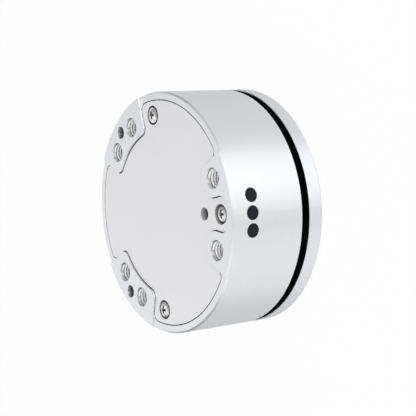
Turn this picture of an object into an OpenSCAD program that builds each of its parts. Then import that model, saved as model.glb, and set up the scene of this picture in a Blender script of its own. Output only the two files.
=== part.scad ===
// Six-axis force torque sensor: a round metal body that sits between a robot's
// wrist and its tool. The body carries raised mounting pads and a recessed
// cover on the robot side, the tool flange hangs on a sprung cross inside, and
// two round circuit boards read the strain gauges on that cross.
// The tool flange lies on z = 0, +Z points to the robot side and the status
// windows look along +X.

/* [Outside] */
// Outer diameter of the body and of the tool flange
body_d = 77; // [76:0.5:84]
// Thickness of the tool flange at its rim
flange_t = 5.3; // [5:0.1:8]
// Height of the gap that lets the flange move, closed by the black seal
gap_h = 2.9; // [2.4:0.1:4]
// Height of the body from the gap to its rim face
body_h = 25.8; // [25.4:0.1:32]
// Height of the mounting pads over the rim face
pad_h = 0.6; // [0.3:0.1:1.2]
// Chamfer on the outer edges of the body and the flange
edge_chamfer = 0.5; // [0.2:0.1:0.8]
// Chamfer on their edges beside the gap
gap_chamfer = 0.1; // [0.05:0.05:0.2]

/* [Body shell] */
// Wall beside the circuit boards
upper_wall = 4.5; // [4.2:0.1:5]
// Wall beside the measuring cross
lower_wall = 3; // [2.6:0.1:3.4]
// Width of the shoulder that carries the measuring cross
shoulder_w = 6; // [5.5:0.1:6.4]
// Thickness of that shoulder
shoulder_t = 4; // [3.6:0.1:4.6]
// Width of the ledge that the cover's gasket lies on
ledge_w = 1.6; // [1.2:0.1:2]

/* [Mounting pads] */
// Width of the pads, from the body's side in to their inner edges
pad_w = 12; // [11:0.5:13]
// Direction of the two wide pads, to either side of the windows
wide_pad_angle = 128.2; // [126:0.1:130]
// Angle that a wide pad covers
wide_pad_span = 47.6; // [44:0.2:50]
// Corner radius of a wide pad
wide_pad_corner = 2.5; // [1:0.1:4]
// Direction of the two narrow pads, to either side of the windows
narrow_pad_angle = 19.5; // [19:0.1:20]
// Angle that a narrow pad covers
narrow_pad_span = 19.6; // [19:0.2:20.4]
// Corner radius of a narrow pad
narrow_pad_corner = 3.4; // [1:0.1:4]

/* [Robot side fixing] */
// Distance from the body's side in to the six threaded holes
robot_hole_inset = 7; // [6.5:0.1:7.5]
// Depth of those holes
robot_hole_depth = 11; // [9.5:0.5:11]
// Length of the thread inserts in those holes
robot_insert_l = 9; // [6:0.5:9]
// Outer diameter of the thread inserts
insert_d = 6.2; // [5.8:0.1:6.4]
// Core diameter of their threads
thread_d = 5; // [4.2:0.1:5.2]
// Depth of the inserts' ends under the faces
insert_sink = 0.5; // [0.2:0.1:0.6]
// Direction of the threaded hole in a narrow pad
narrow_hole_angle = 20; // [19.5:0.1:20.5]
// Angle from a wide pad's dowel hole to either of its threaded holes
wide_hole_turn = 11.4; // [11:0.1:12]
// Diameter of the dowel holes
dowel_d = 4; // [3:0.5:4]
// Depth of the dowel holes in the pads
dowel_depth = 8; // [5:0.5:10]
// Direction of the dowel hole in a wide pad
dowel_angle = 129; // [128:0.1:129.6]
// Distance from the body's side in to the dowel hole in a wide pad
dowel_inset = 4.4; // [4.1:0.1:5]
// Distance from the body's side in to the dowel hole in the cover's tongue
tongue_dowel_inset = 15; // [14:0.1:15.5]
// Chamfer at the mouths of the threaded and dowel holes
mouth_chamfer = 0.15; // [0.1:0.05:0.3]

/* [Cover] */
// Thickness of the cover
cover_t = 2.8; // [2.6:0.1:3.2]
// Width of the rim face outside the cover's recess
rim_face_w = 2.5; // [2.2:0.1:3]
// Gap between the cover and its recess
cover_gap = 0.3; // [0.2:0.05:0.4]
// Corner radius of the cover's recess
recess_corner = 2.6; // [1:0.1:3]
// Corner radius of the recess at the end of the cover's tongue
tongue_corner = 3.4; // [1:0.1:4]
// Thickness of the gasket under the cover
gasket_t = 0.4; // [0.3:0.1:0.6]
// Direction of the two side screws of the cover
side_screw_angle = 93.6; // [92.5:0.1:94]
// Distance from the body's side in to a side screw
side_screw_inset = 7.3; // [6.9:0.1:7.7]
// Depth of the side screws' counterbores
side_screw_sink = 1.5; // [1.3:0.1:1.6]
// Distance from the body's side in to the tongue screw
tongue_screw_inset = 6.6; // [6.3:0.1:7.1]
// Depth of the tongue screw's counterbore
tongue_screw_sink = 2.1; // [1.6:0.1:2.2]
// Diameter of the counterbores
counterbore_d = 6.2; // [5.8:0.1:6.4]

/* [Cover screws] */
// Thread diameter
cover_screw_d = 2.5; // [2:0.5:2.5]
// Head diameter
cover_head_d = 5; // [4.5:0.1:5.2]
// Head height
cover_head_h = 2.1; // [1.8:0.1:2.3]
// Length under the head
cover_screw_l = 5; // [4.5:0.1:5.4]
// Width of the cross recess's wings
cross_w = 0.75; // [0.5:0.05:1]
// Diameter over the cross recess's wings
cross_d = 2.9; // [2:0.1:3.2]
// Depth of the cross recess
cross_depth = 1.3; // [0.8:0.1:1.4]

/* [Status windows] */
// Diameter of a window
window_d = 4.4; // [4:0.1:4.6]
// Angle between neighbouring windows
window_turn = 7.9; // [7.6:0.1:8.4]
// Distance from the pads' faces to the windows' centres
window_drop = 7.5; // [7.2:0.1:7.8]
// Depth of the windows' faces under the wall's surface
window_sink = 0.2; // [0.1:0.05:0.5]

/* [Measuring cross] */
// Thickness of the cross
cross_t = 9; // [8.4:0.1:9.4]
// Step from the body's lower edge up to the cross
cross_rise = 1; // [0.8:0.1:1.4]
// Height of the hub's foot, which keeps the flange clear of the beams
foot_h = 0.5; // [0.3:0.1:0.7]
// Step from the hub's side in to its foot
foot_step = 0.6; // [0.3:0.1:1]
// Diameter of the hub
hub_d = 24; // [23:0.5:26]
// Width of a beam
beam_w = 6; // [5:0.5:7]
// Width of the rim
cross_rim_w = 7.2; // [6.8:0.1:7.4]
// Thickness of the leaf that a beam ends on
leaf_t = 1.2; // [0.8:0.1:1.3]
// Width of the slot behind a leaf
slot_w = 1.2; // [0.8:0.1:1.3]
// Diameter of the hole that ends each slot
slot_end_d = 1.5; // [1.4:0.1:1.8]
// Half the angle that a slot covers
slot_half_angle = 16; // [12:0.5:18]
// Radius of the fillets where the beams start and end
beam_fillet = 2; // [1:0.1:2.5]
// Radial gap between the cross and the body
cross_gap = 0.3; // [0.2:0.05:0.4]

/* [Strain gauges] */
// Length of a gauge
gauge_l = 4; // [3:0.5:5]
// Width of a gauge
gauge_w = 3; // [2:0.5:4]
// Thickness of a gauge
gauge_t = 0.12; // [0.1:0.01:0.2]
// Thickness of the flat leads from the gauges to the board
lead_t = 0.2; // [0.15:0.05:0.3]
// Distance from the hub's side to the leads' upright strips
lead_gap = 0.8; // [0.6:0.1:1.8]

/* [Tool side fixing] */
// Distance from the flange's side in to the four threaded holes and the dowel hole
tool_hole_inset = 13.5; // [12.5:0.25:14.5]
// Depth of the threaded holes
tool_hole_depth = 7; // [6.5:0.1:7.4]
// Length of the thread inserts in those holes
tool_insert_l = 6; // [4:0.5:6]
// Diameter of the dowel hole
tool_dowel_d = 6; // [4:0.5:6]
// Depth of the dowel hole
tool_dowel_depth = 6; // [4:0.5:7]
// Diameter of the pilot recess
pilot_d = 31.5; // [30:0.5:32]
// Depth of the pilot recess
pilot_depth = 3.5; // [2:0.1:3.6]
// Distance from the flange's side in to its boss under the cross
flange_boss_inset = 9.3; // [9.2:0.1:10]
// Distance from the outer surface in to the black seal
seal_sink = 0.3; // [0.3:0.1:1.2]
// Width of the black seal
seal_w = 1.4; // [1:0.1:1.6]

/* [Inner fasteners] */
// Distance from the body's side in to the rim screws, the stop pins and the board screws
ring_inset = 6.7; // [6.5:0.1:6.9]
// Angle from a stop pin to the rim screws beside it
rim_screw_turn = 13; // [12:0.5:14]
// Thread diameter of the rim screws
rim_screw_d = 3; // [2.5:0.5:3]
// Head diameter of the rim screws
rim_head_d = 5.5; // [5:0.1:5.6]
// Head height of the rim screws
rim_head_h = 3; // [2.5:0.1:3.4]
// Thread of the rim screws in the shoulder
rim_grip = 3.2; // [2.6:0.1:3.3]
// Distance from the axis to the hub screws
hub_reach = 7.5; // [7:0.1:7.8]
// Thread diameter of the hub screws
hub_screw_d = 4; // [3:0.5:4]
// Head diameter of the hub screws
hub_head_d = 7; // [6:0.5:7]
// Head height of the hub screws
hub_head_h = 4; // [3:0.5:4.4]
// Thread of the hub screws in the flange
hub_grip = 4.5; // [3.5:0.1:4.8]
// Diameter of the hub's two dowels
hub_dowel_d = 3; // [2.5:0.5:3]
// Depth of those dowels in the hub and in the flange
hub_dowel_grip = 4; // [3:0.1:4.6]
// Diameter of the stop pins
stop_pin_d = 4; // [3:0.5:4]
// Gap round a stop pin in the cross
stop_gap = 0.3; // [0.2:0.05:0.4]
// Depth of the stop pins in the flange
stop_pin_grip = 3; // [2:0.1:4]
// Length of the stop pins inside the cross
stop_pin_l = 5; // [4:0.5:7]
// Gap round screw heads and shanks in their holes
screw_gap = 0.2; // [0.1:0.05:0.3]

/* [Circuit boards] */
// Thickness of the boards
board_t = 1; // [0.8:0.1:1.2]
// Height of the lower standoffs
lower_standoff_h = 2.2; // [2:0.1:2.3]
// Height of the upper standoffs
upper_standoff_h = 2.8; // [2.6:0.1:3]
// Width across the standoffs' flats
standoff_af = 3.2; // [3:0.1:3.4]
// Thread diameter of the board screws
board_screw_d = 2; // [1.6:0.2:2]
// Head diameter of the board screws
board_head_d = 3.6; // [3:0.1:3.8]
// Head height of the board screws
board_head_h = 1.2; // [1:0.1:1.3]
// Thread of the board screws in the shoulder
board_grip = 3; // [2.5:0.1:3.2]
// Direction of the front standoffs
front_standoff_angle = 66; // [62:0.5:72]
// Direction of the rear standoffs
rear_standoff_angle = 161; // [160:0.5:163]
// Gap between the boards and the body
board_gap = 0.4; // [0.3:0.05:0.5]
// Height of the chips
chip_h = 1; // [0.8:0.1:1.2]
// Width of the processor and of the converter chip
chip_w = 8; // [6:0.5:9]
// Width of the amplifier chips
amplifier_w = 4.6; // [4:0.2:5]

/* [Status lights] */
// Depth of the pocket behind the windows, along a radius
bay_depth = 3; // [2.8:0.1:3.2]
// Wall between that pocket and the outside
bay_wall = 2.5; // [2.3:0.1:2.7]
// Half the angle of that pocket
bay_half_angle = 12.5; // [12.2:0.1:13]
// Thickness of the upright light board
light_board_t = 0.8; // [0.6:0.1:0.9]
// Thickness of a light
light_t = 0.6; // [0.4:0.1:0.7]
// Gap between the lights and the wall in front of them
light_gap = 0.9; // [0.7:0.1:1]
// Width and height of a light
light_w = 1.6; // [1.2:0.1:2]

/* [Connector] */
// Distance from the pads' faces to the connector's axis
socket_drop = 8.2; // [8:0.1:8.4]
// Diameter of the mating thread
socket_d = 8; // [7:0.5:8]
// Length of the mating thread
socket_l = 4; // [3:0.5:4.5]
// Width across the hexagon's flats
socket_af = 10; // [9:0.5:10]
// Thickness of the hexagon
socket_hex_t = 2; // [1.5:0.1:2.5]
// Thickness of the sealing washer under the hexagon
washer_t = 0.6; // [0.4:0.1:0.8]
// Depth of the flat spot on the wall
spot_depth = 1.5; // [1.2:0.1:1.8]
// Diameter of that flat spot
spot_d = 12.4; // [12:0.1:13]
// Wall of the shell round the insert
socket_wall = 0.8; // [0.6:0.1:1]
// Length of the shell inside the body
socket_tail = 1.5; // [1:0.1:2]
// Diameter of a contact
contact_d = 1; // [0.8:0.1:1.1]
// Diameter of the circle of contacts
contact_circle_d = 4.2; // [4:0.1:4.4]
// Contacts round the middle one
contact_count = 7; // [5:1:7]
// Thickness of the small board behind the contacts
tail_board_t = 0.8; // [0.6:0.1:1]

/* [Hidden] */
$fn = 96;
eps = 0.01; // cuts run this far past the faces that they open
weld = 0.003; // a round runs this far past the lines it meets, so that they cross cleanly

// Heights, from the tool flange's outer face up
z_body = flange_t + gap_h;
z_rim = z_body + body_h;
z_pad = z_rim + pad_h;
z_cover = z_rim - cover_t;
z_ledge = z_cover - gasket_t;
z_cross = z_body + cross_rise;
z_cross_top = z_cross + cross_t;
z_foot = z_cross - foot_h;
z_shoulder = z_cross_top + shoulder_t;
z_lower_board = z_shoulder + lower_standoff_h;
z_lower_top = z_lower_board + board_t;
z_upper_board = z_lower_top + upper_standoff_h;
z_upper_top = z_upper_board + board_t;
z_window = z_pad - window_drop;
z_socket = z_pad - socket_drop;
lug_room = 0.5; // between the lower board and the cover's screw lugs
z_lug = z_lower_top + lug_room;

// Radii, from the outside in
body_r = body_d / 2;
far_r = 1.5 * body_r;
recess_r = body_r - rim_face_w;
bore_r = body_r - lower_wall;
shoulder_r = bore_r - shoulder_w;
cavity_r = body_r - upper_wall;
bay_out_r = body_r - bay_wall;
bay_in_r = bay_out_r - bay_depth;
cross_r = bore_r - cross_gap;
leaf_in_r = cross_r - cross_rim_w;
leaf_out_r = leaf_in_r + leaf_t;
slot_out_r = leaf_out_r + slot_w;
flange_boss_r = body_r - flange_boss_inset;
pad_in_r = body_r - pad_w;

// Distances from the axis to holes and fasteners
robot_hole_reach = body_r - robot_hole_inset;
dowel_reach = body_r - dowel_inset;
tongue_dowel_reach = body_r - tongue_dowel_inset;
side_screw_reach = body_r - side_screw_inset;
tongue_screw_reach = body_r - tongue_screw_inset;
tool_hole_reach = body_r - tool_hole_inset;
ring_reach = body_r - ring_inset;

// Direction, angle covered and corner radius of each mounting pad
PADS = [
    for (side = [-1, 1]) [side * wide_pad_angle, wide_pad_span, wide_pad_corner],
    for (side = [-1, 1]) [side * narrow_pad_angle, narrow_pad_span, narrow_pad_corner]
];
robot_hole_angles = [
    narrow_hole_angle, dowel_angle - wide_hole_turn, dowel_angle + wide_hole_turn,
    -narrow_hole_angle, wide_hole_turn - dowel_angle, -wide_hole_turn - dowel_angle
];
// Distance, direction and counterbore depth of each cover screw
COVER_SCREWS = [
    [tongue_screw_reach, 0, tongue_screw_sink],
    for (side = [-1, 1]) [side_screw_reach, side * side_screw_angle, side_screw_sink]
];
beam_angles = [0, 90, 180, 270];
quarter_angles = [45, 135, 225, 315];
hub_dowel_angles = [45, 225];
rim_screw_angles = [for (a = quarter_angles, side = [-1, 1]) a + side * rim_screw_turn];
standoff_angles = [
    front_standoff_angle, -front_standoff_angle, rear_standoff_angle, -rear_standoff_angle
];
window_angles = [-window_turn, 0, window_turn];

// Lugs under the cover
lug_wall = 2; // metal round a thread or a dowel hole
lug_r = cover_screw_d / 2 + lug_wall;
tongue_half_w = dowel_d / 2 + lug_wall;
cover_hole_r = cover_screw_d / 2 + screw_gap;

// Strain gauges and their leads, along a beam
lead_foot_l = 4.4;
lead_reach = hub_d / 2 + lead_gap;
gauge_reach = lead_reach + lead_foot_l;

// Status lights: an upright board on the lower board's tongue, and the lights on it
light_reach = bay_out_r - light_gap - light_t; // from the axis to the lights' backs
light_board_in = light_reach - light_board_t;
light_board_w = 13.2;
light_board_h = 3.6;
bay_room = 0.5;     // over and under the boards in the pocket
tongue_lip = 0.2;   // of the lower board, inside the light board
window_tail = 0.2;  // a window's step into the pocket behind it

// Connector, outwards along -X
socket_axis_reach = body_r - spot_depth;
thread_step = 0.2;  // from the mating thread down to the thread in the wall
socket_hole_r = socket_d / 2 - thread_step;
core_r = socket_hole_r - socket_wall;
shell_front = socket_axis_reach + washer_t + socket_hex_t + socket_l;
core_sink = 0.4;    // from the shell's front edge to the insulating insert
core_l = 12;
core_front = shell_front - core_sink;
core_back = core_front - core_l;
contact_stub = 2;   // of a contact behind the insert
socket_board_r = 3.9;
notch_room = 1.5;   // round the socket in the boards
notch_half_w = socket_d / 2 + notch_room;
notch_inset = 10.1; // from the body's side in to the end of that notch
notch_reach = body_r - notch_inset;
ribbon_w = 5;
ribbon_l = 6;

// Places of the chips on the boards, and the sizes of the small parts
amplifier_reach = 17;
converter_place = [-6, 0];
processor_place = [-5, 6];
network_place = [-12, -8];
crystal_place = [6, 8];
crystal_size = [3.2, 2.5];
header_place = [0, -15];
header_size = [14, 4];
capacitor_size = [2, 1.2];
capacitor_columns = [-9, -3, 3, 9];
capacitor_rows = [11, 15];

// Places the children at a distance and direction from the axis
module at_polar(reach, angle) {
    rotate(angle) translate([reach, 0, 0]) children();
}

// Turned disc with chamfered edges, from z_low to z_high
module turned_disc(r, z_low, z_high, low_chamfer, high_chamfer) {
    rotate_extrude()
        polygon([
            [0, z_low], [r - low_chamfer, z_low], [r, z_low + low_chamfer],
            [r, z_high - high_chamfer], [r - high_chamfer, z_high], [0, z_high]
        ]);
}

// Upright plate of an outline, from z_low to z_high
module plate(z_low, z_high) {
    translate([0, 0, z_low]) linear_extrude(z_high - z_low) children();
}

// Upright round hole or pin, from z_low to z_high
module round_bar(r, z_low, z_high) {
    translate([0, 0, z_low]) cylinder(r = r, h = z_high - z_low);
}

// Cut for a blind hole that opens upwards at z_mouth, with a chamfered mouth
module blind_hole(r, z_mouth, depth, chamfer) {
    round_bar(r, z_mouth - depth, z_mouth + eps);
    translate([0, 0, z_mouth - chamfer]) cylinder(r1 = r, r2 = r + chamfer + eps, h = chamfer + eps);
}

// Outline of one mounting pad along +X, grown by a margin on its inner sides
module pad_outline(span, corner, margin) {
    corner_reach = pad_in_r + corner;
    corner_angle = span / 2 - asin(corner / corner_reach);
    difference() {
        polygon([[0, 0], [far_r, -far_r * tan(corner_angle)], [far_r, far_r * tan(corner_angle)]]);
        circle(pad_in_r - margin);
    }
    for (side = [0, 1]) mirror([0, side])
        rotate(corner_angle) translate([corner_reach, 0]) {
            circle(corner + margin + weld);
            rotate(span / 2 - corner_angle)
                translate([0, -corner]) square([far_r, 2 * corner + margin]);
        }
}

// Outlines of all the mounting pads
module pads_outline(margin) {
    for (pad = PADS) rotate(pad[0]) pad_outline(pad[1], pad[2], margin);
}

// Radius of the recess's corner beside a pad, on its anticlockwise (0) or clockwise (1) side
function corner_beside(pad, side) =
    abs(pad[0] + (1 - 2 * side) * pad[1] / 2) < narrow_pad_angle ? tongue_corner : recess_corner;

// Metal left in a corner of the recess, beyond a pad's side that runs along +X
module corner_metal(corner, inset) {
    round_reach = recess_r - corner;
    along = sqrt(round_reach * round_reach - corner * corner);
    difference() {
        polygon([
            [along, corner], [along, -corner], [far_r, -corner],
            [along, corner] * far_r / round_reach
        ]);
        translate([along, corner]) circle(corner - inset + weld);
    }
}

// Metal left in all the recess's corners, beside the pads
module recess_corners(inset) {
    for (pad = PADS, side = [0, 1]) rotate(pad[0]) mirror([0, side]) rotate(pad[1] / 2)
        corner_metal(corner_beside(pad, side), inset);
}

// Metal level with the narrow pads, round the end of the cover's tongue
module tongue_surround() {
    difference() {
        polygon([
            [0, 0], [far_r, -far_r * tan(narrow_pad_angle)], [far_r, far_r * tan(narrow_pad_angle)]
        ]);
        circle(recess_r - tongue_corner);
    }
}

// Outline of the cover's recess, or of the cover when inset by its gap
module recess_outline(inset) {
    difference() {
        difference() {
            circle(recess_r - inset);
            pads_outline(inset);
        }
        recess_corners(inset);
    }
}

// Outline of the lugs under the cover that take its screws and the middle dowel
module lugs_outline(margin) {
    for (side = [-1, 1]) at_polar(side_screw_reach, side * side_screw_angle) {
        circle(lug_r + margin);
        translate([0, -lug_r - margin]) square([far_r, 2 * (lug_r + margin)]);
    }
    translate([tongue_dowel_reach, 0]) {
        circle(tongue_half_w + margin);
        translate([0, -tongue_half_w - margin]) square([far_r, 2 * (tongue_half_w + margin)]);
    }
}

// Outline of the room for the boards, inset by a margin
module cavity_outline(margin) {
    difference() {
        circle(cavity_r - margin);
        pads_outline(ledge_w + margin);
    }
}

// Holes or threads for the cover's screws
module at_cover_screws() {
    for (screw = COVER_SCREWS) at_polar(screw[0], screw[1]) children();
}

// Body, turned and milled from one piece
module body_housing() color("silver")
    difference() {
        union() {
            turned_disc(body_r, z_body, z_rim, gap_chamfer, edge_chamfer);
            intersection() {
                turned_disc(body_r, z_body, z_pad, gap_chamfer, edge_chamfer);
                plate(z_body, z_pad) {
                    pads_outline(0);
                    tongue_surround();
                }
            }
        }
        plate(z_ledge, z_pad + eps) recess_outline(0);
        difference() {
            plate(z_shoulder, z_ledge + eps) cavity_outline(0);
            plate(z_lug, z_ledge + 2 * eps) lugs_outline(0);
        }
        round_bar(shoulder_r, z_cross_top - eps, z_shoulder);
        round_bar(bore_r, z_body - eps, z_cross_top);
        light_bay();
        robot_side_holes();
        cover_screw_threads();
        inner_threads();
        for (a = window_angles) window_bar(far_r, bay_out_r - window_tail, a);
        socket_cut();
    }

// Pocket for the status lights behind the windows
module light_bay() {
    plate(z_lower_board - bay_room, z_lower_top + light_board_h + bay_room) intersection() {
        difference() {
            circle(bay_out_r);
            circle(bay_in_r);
        }
        polygon([
            [0, 0], [far_r, -far_r * tan(bay_half_angle)], [far_r, far_r * tan(bay_half_angle)]
        ]);
    }
}

// Holes for the thread inserts and dowels of the robot side
module robot_side_holes() {
    for (a = robot_hole_angles) at_polar(robot_hole_reach, a)
        blind_hole(insert_d / 2, z_pad, robot_hole_depth, mouth_chamfer);
    for (side = [-1, 1]) at_polar(dowel_reach, side * dowel_angle)
        blind_hole(dowel_d / 2, z_pad, dowel_depth, mouth_chamfer);
    at_polar(tongue_dowel_reach, 0) round_bar(dowel_d / 2, z_lug - eps, z_ledge + eps);
}

// Threads of the cover's screws in the lugs
module cover_screw_threads() {
    for (screw = COVER_SCREWS) at_polar(screw[0], screw[1])
        round_bar(cover_screw_d / 2, z_rim - screw[2] - cover_screw_l, z_ledge + eps);
}

// Threads of the rim screws and the board screws in the shoulder
module inner_threads() {
    for (a = rim_screw_angles) at_polar(ring_reach, a)
        round_bar(rim_screw_d / 2, z_cross_top - eps, z_cross_top + rim_grip);
    for (a = standoff_angles) at_polar(ring_reach, a)
        round_bar(board_screw_d / 2, z_shoulder - board_grip, z_shoulder + eps);
}

// Bar along a window's axis, between two distances from the body's axis
module window_bar(reach_out, reach_in, angle) {
    rotate(angle) translate([reach_in, 0, z_window]) rotate([0, 90, 0])
        cylinder(d = window_d, h = reach_out - reach_in);
}

// Bar along the socket's axis, between two distances from the body's axis
module socket_bar(r, reach_out, reach_in) {
    translate([-reach_in, 0, z_socket]) rotate([0, -90, 0])
        cylinder(r = r, h = reach_out - reach_in);
}

// Flat spot and threaded hole for the socket
module socket_cut() {
    socket_bar(spot_d / 2, far_r, socket_axis_reach);
    socket_bar(socket_hole_r, body_r, cavity_r - socket_tail);
}

// Cover, a thin milled plate round the mounting pads
module cover_plate() color("gainsboro")
    difference() {
        plate(z_cover, z_rim) recess_outline(cover_gap);
        for (screw = COVER_SCREWS) at_polar(screw[0], screw[1]) {
            round_bar(cover_hole_r, z_cover - eps, z_rim);
            round_bar(counterbore_d / 2, z_rim - screw[2], z_rim + eps);
        }
        at_polar(tongue_dowel_reach, 0) round_bar(dowel_d / 2, z_cover - eps, z_rim + eps);
    }

// Gasket between the cover and the ledge
module cover_gasket() color("dimgray")
    plate(z_ledge, z_cover) difference() {
        recess_outline(cover_gap);
        difference() {
            cavity_outline(0);
            lugs_outline(0);
        }
        at_cover_screws() circle(cover_hole_r);
        at_polar(tongue_dowel_reach, 0) circle(dowel_d / 2);
    }

// Cross recess, cut downwards from z = 0
module cross_recess() {
    intersection() {
        translate([0, 0, -cross_depth]) cylinder(d1 = cross_w, d2 = cross_d, h = cross_depth + eps);
        for (turn = [0, 90]) rotate(turn) translate([-cross_d, -cross_w / 2, -cross_depth])
            cube([2 * cross_d, cross_w, cross_depth + eps]);
    }
}

// Screws of the cover, with rounded heads and cross recesses
module cover_screws() color("gray")
    for (screw = COVER_SCREWS) at_polar(screw[0], screw[1]) translate([0, 0, z_rim - screw[2]]) {
        dome_r = cover_head_d; // radius of the head's crown
        difference() {
            intersection() {
                cylinder(d = cover_head_d, h = cover_head_h);
                translate([0, 0, cover_head_h - dome_r]) sphere(dome_r);
            }
            translate([0, 0, cover_head_h]) cross_recess();
        }
        translate([0, 0, -cover_screw_l]) cylinder(d = cover_screw_d, h = cover_screw_l);
    }

// Tool flange with its boss, pilot recess and holes
module tool_flange() color("silver")
    difference() {
        union() {
            turned_disc(body_r, 0, flange_t, edge_chamfer, gap_chamfer);
            round_bar(flange_boss_r, flange_t - eps, z_foot);
        }
        round_bar(pilot_d / 2, -eps, pilot_depth);
        for (a = quarter_angles) at_polar(tool_hole_reach, a)
            mirror([0, 0, 1]) blind_hole(insert_d / 2, 0, tool_hole_depth, mouth_chamfer);
        at_polar(tool_hole_reach, 0)
            mirror([0, 0, 1]) blind_hole(tool_dowel_d / 2, 0, tool_dowel_depth, mouth_chamfer);
        for (a = beam_angles) at_polar(hub_reach, a)
            round_bar(hub_screw_d / 2, z_foot - hub_grip, z_foot + eps);
        for (a = hub_dowel_angles) at_polar(hub_reach, a)
            round_bar(hub_dowel_d / 2, z_foot - hub_dowel_grip, z_foot + eps);
        for (a = quarter_angles) at_polar(ring_reach, a)
            round_bar(stop_pin_d / 2, flange_t - stop_pin_grip, z_foot + eps);
    }

// Steel sleeve that lines a threaded hole, from z_low to z_high
module thread_insert(z_low, z_high) {
    difference() {
        round_bar(insert_d / 2, z_low, z_high);
        round_bar(thread_d / 2, z_low - eps, z_high + eps);
    }
}

// Thread inserts of the robot side
module thread_inserts() color("lightgray")
    for (a = robot_hole_angles) at_polar(robot_hole_reach, a)
        thread_insert(z_pad - insert_sink - robot_insert_l, z_pad - insert_sink);

// Thread inserts of the tool side
module tool_inserts() color("lightgray")
    for (a = quarter_angles) at_polar(tool_hole_reach, a)
        thread_insert(insert_sink, insert_sink + tool_insert_l);

// Black seal that closes the gap between the flange and the body
module gap_seal() color("black")
    plate(flange_t, z_body) difference() {
        circle(body_r - seal_sink);
        circle(body_r - seal_sink - seal_w);
    }

// Outline of the opening between two beams, for the quarter from +X to +Y
module quarter_opening() {
    foot_r = hub_d / 2 + beam_fillet;
    wide_r = leaf_in_r - beam_fillet;
    side = beam_w / 2 + beam_fillet;
    difference() {
        circle(leaf_in_r);
        circle(hub_d / 2);
        for (a = [0, 90]) rotate(a) translate([0, -beam_w / 2]) square([far_r, beam_w]);
        translate([-far_r, -far_r]) square([2 * far_r, far_r]);
        translate([-far_r, -far_r]) square([far_r, 2 * far_r]);
        for (turn = [0, 1]) mirror([turn, -turn]) {
            fillet_corner(sqrt(foot_r * foot_r - side * side), side, beam_fillet, -1);
            fillet_corner(sqrt(wide_r * wide_r - side * side), side, beam_fillet, 1);
        }
    }
}

// Metal left in the corner between a beam, which runs along +X, and an arc
// about the axis; end is 1 at the beam's outer end and -1 at its inner end
module fillet_corner(x, y, r, end) {
    difference() {
        polygon([[x, y], [x, 0], [x + end * 2 * r, 0], [x, y] * (1 + end * 2 * r / norm([x, y]))]);
        translate([x, y]) circle(r + weld);
    }
}

// Slot behind the leaf that a beam along +X ends on, with a round hole at each end
module leaf_slot() {
    plate(z_cross - eps, z_cross_top + eps) intersection() {
        difference() {
            circle(slot_out_r);
            circle(leaf_out_r);
        }
        polygon([
            [0, 0], [far_r, -far_r * tan(slot_half_angle)], [far_r, far_r * tan(slot_half_angle)]
        ]);
    }
    for (side = [-1, 1]) at_polar((leaf_out_r + slot_out_r) / 2, side * slot_half_angle)
        round_bar(slot_end_d / 2, z_cross - eps, z_cross_top + eps);
}

// Measuring cross: hub, four beams on thin leaves, and a stiff rim, in one piece
module measuring_cross() color("darkgray")
    difference() {
        union() {
            round_bar(cross_r, z_cross, z_cross_top);
            round_bar(hub_d / 2 - foot_step, z_foot, z_cross);
        }
        for (a = beam_angles) rotate(a) {
            plate(z_cross - eps, z_cross_top + eps) quarter_opening();
            leaf_slot();
        }
        for (a = rim_screw_angles) at_polar(ring_reach, a) {
            round_bar(rim_screw_d / 2 + screw_gap, z_cross, z_cross_top + eps);
            round_bar(rim_head_d / 2 + screw_gap, z_cross - eps, z_cross + rim_head_h);
        }
        for (a = quarter_angles) at_polar(ring_reach, a)
            round_bar(stop_pin_d / 2 + stop_gap, z_cross - eps, z_cross + stop_pin_l + stop_gap);
        for (a = beam_angles) at_polar(hub_reach, a) {
            round_bar(hub_screw_d / 2 + screw_gap, z_foot - eps, z_cross_top);
            round_bar(hub_head_d / 2 + screw_gap, z_cross_top - hub_head_h, z_cross_top + eps);
        }
        for (a = hub_dowel_angles) at_polar(hub_reach, a)
            round_bar(hub_dowel_d / 2, z_foot - eps, z_foot + hub_dowel_grip);
    }

// Strain gauges on the four faces of each beam
module strain_gauges() color("orange")
    for (a = beam_angles) rotate(a) translate([gauge_reach, 0, 0]) {
        translate([0, -gauge_w / 2, z_cross_top]) cube([gauge_l, gauge_w, gauge_t]);
        translate([0, -gauge_w / 2, z_cross - gauge_t]) cube([gauge_l, gauge_w, gauge_t]);
        for (side = [0, 1]) mirror([0, side, 0])
            translate([0, beam_w / 2, (z_cross + z_cross_top - gauge_w) / 2])
                cube([gauge_l, gauge_t, gauge_w]);
    }

// Flat leads from the upper gauges to the lower board
module gauge_leads() color("peru")
    for (a = beam_angles) rotate(a) translate([lead_reach, -gauge_w / 2, z_cross_top]) {
        cube([lead_foot_l, gauge_w, lead_t]);
        cube([lead_t, gauge_w, z_lower_board - z_cross_top]);
    }

// Cap screw with a hexagon socket: the head stands on z = 0, the shank hangs below
module cap_screw(thread_d, head_d, head_h, length) {
    socket_share = 0.5; // depth of the hexagon socket in the head
    difference() {
        cylinder(d = head_d, h = head_h);
        translate([0, 0, head_h * socket_share])
            cylinder(d = head_d * socket_share, h = head_h, $fn = 6);
    }
    translate([0, 0, -length]) cylinder(d = thread_d, h = length);
}

// Screws that hold the hub of the cross to the flange
module hub_screws() color("dimgray")
    for (a = beam_angles) at_polar(hub_reach, a) translate([0, 0, z_cross_top - hub_head_h])
        cap_screw(hub_screw_d, hub_head_d, hub_head_h, z_cross_top - hub_head_h - z_foot + hub_grip);

// Dowels between the hub and the flange
module hub_dowels() color("lightgray")
    for (a = hub_dowel_angles) at_polar(hub_reach, a)
        round_bar(hub_dowel_d / 2, z_foot - hub_dowel_grip, z_foot + hub_dowel_grip);

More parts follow.
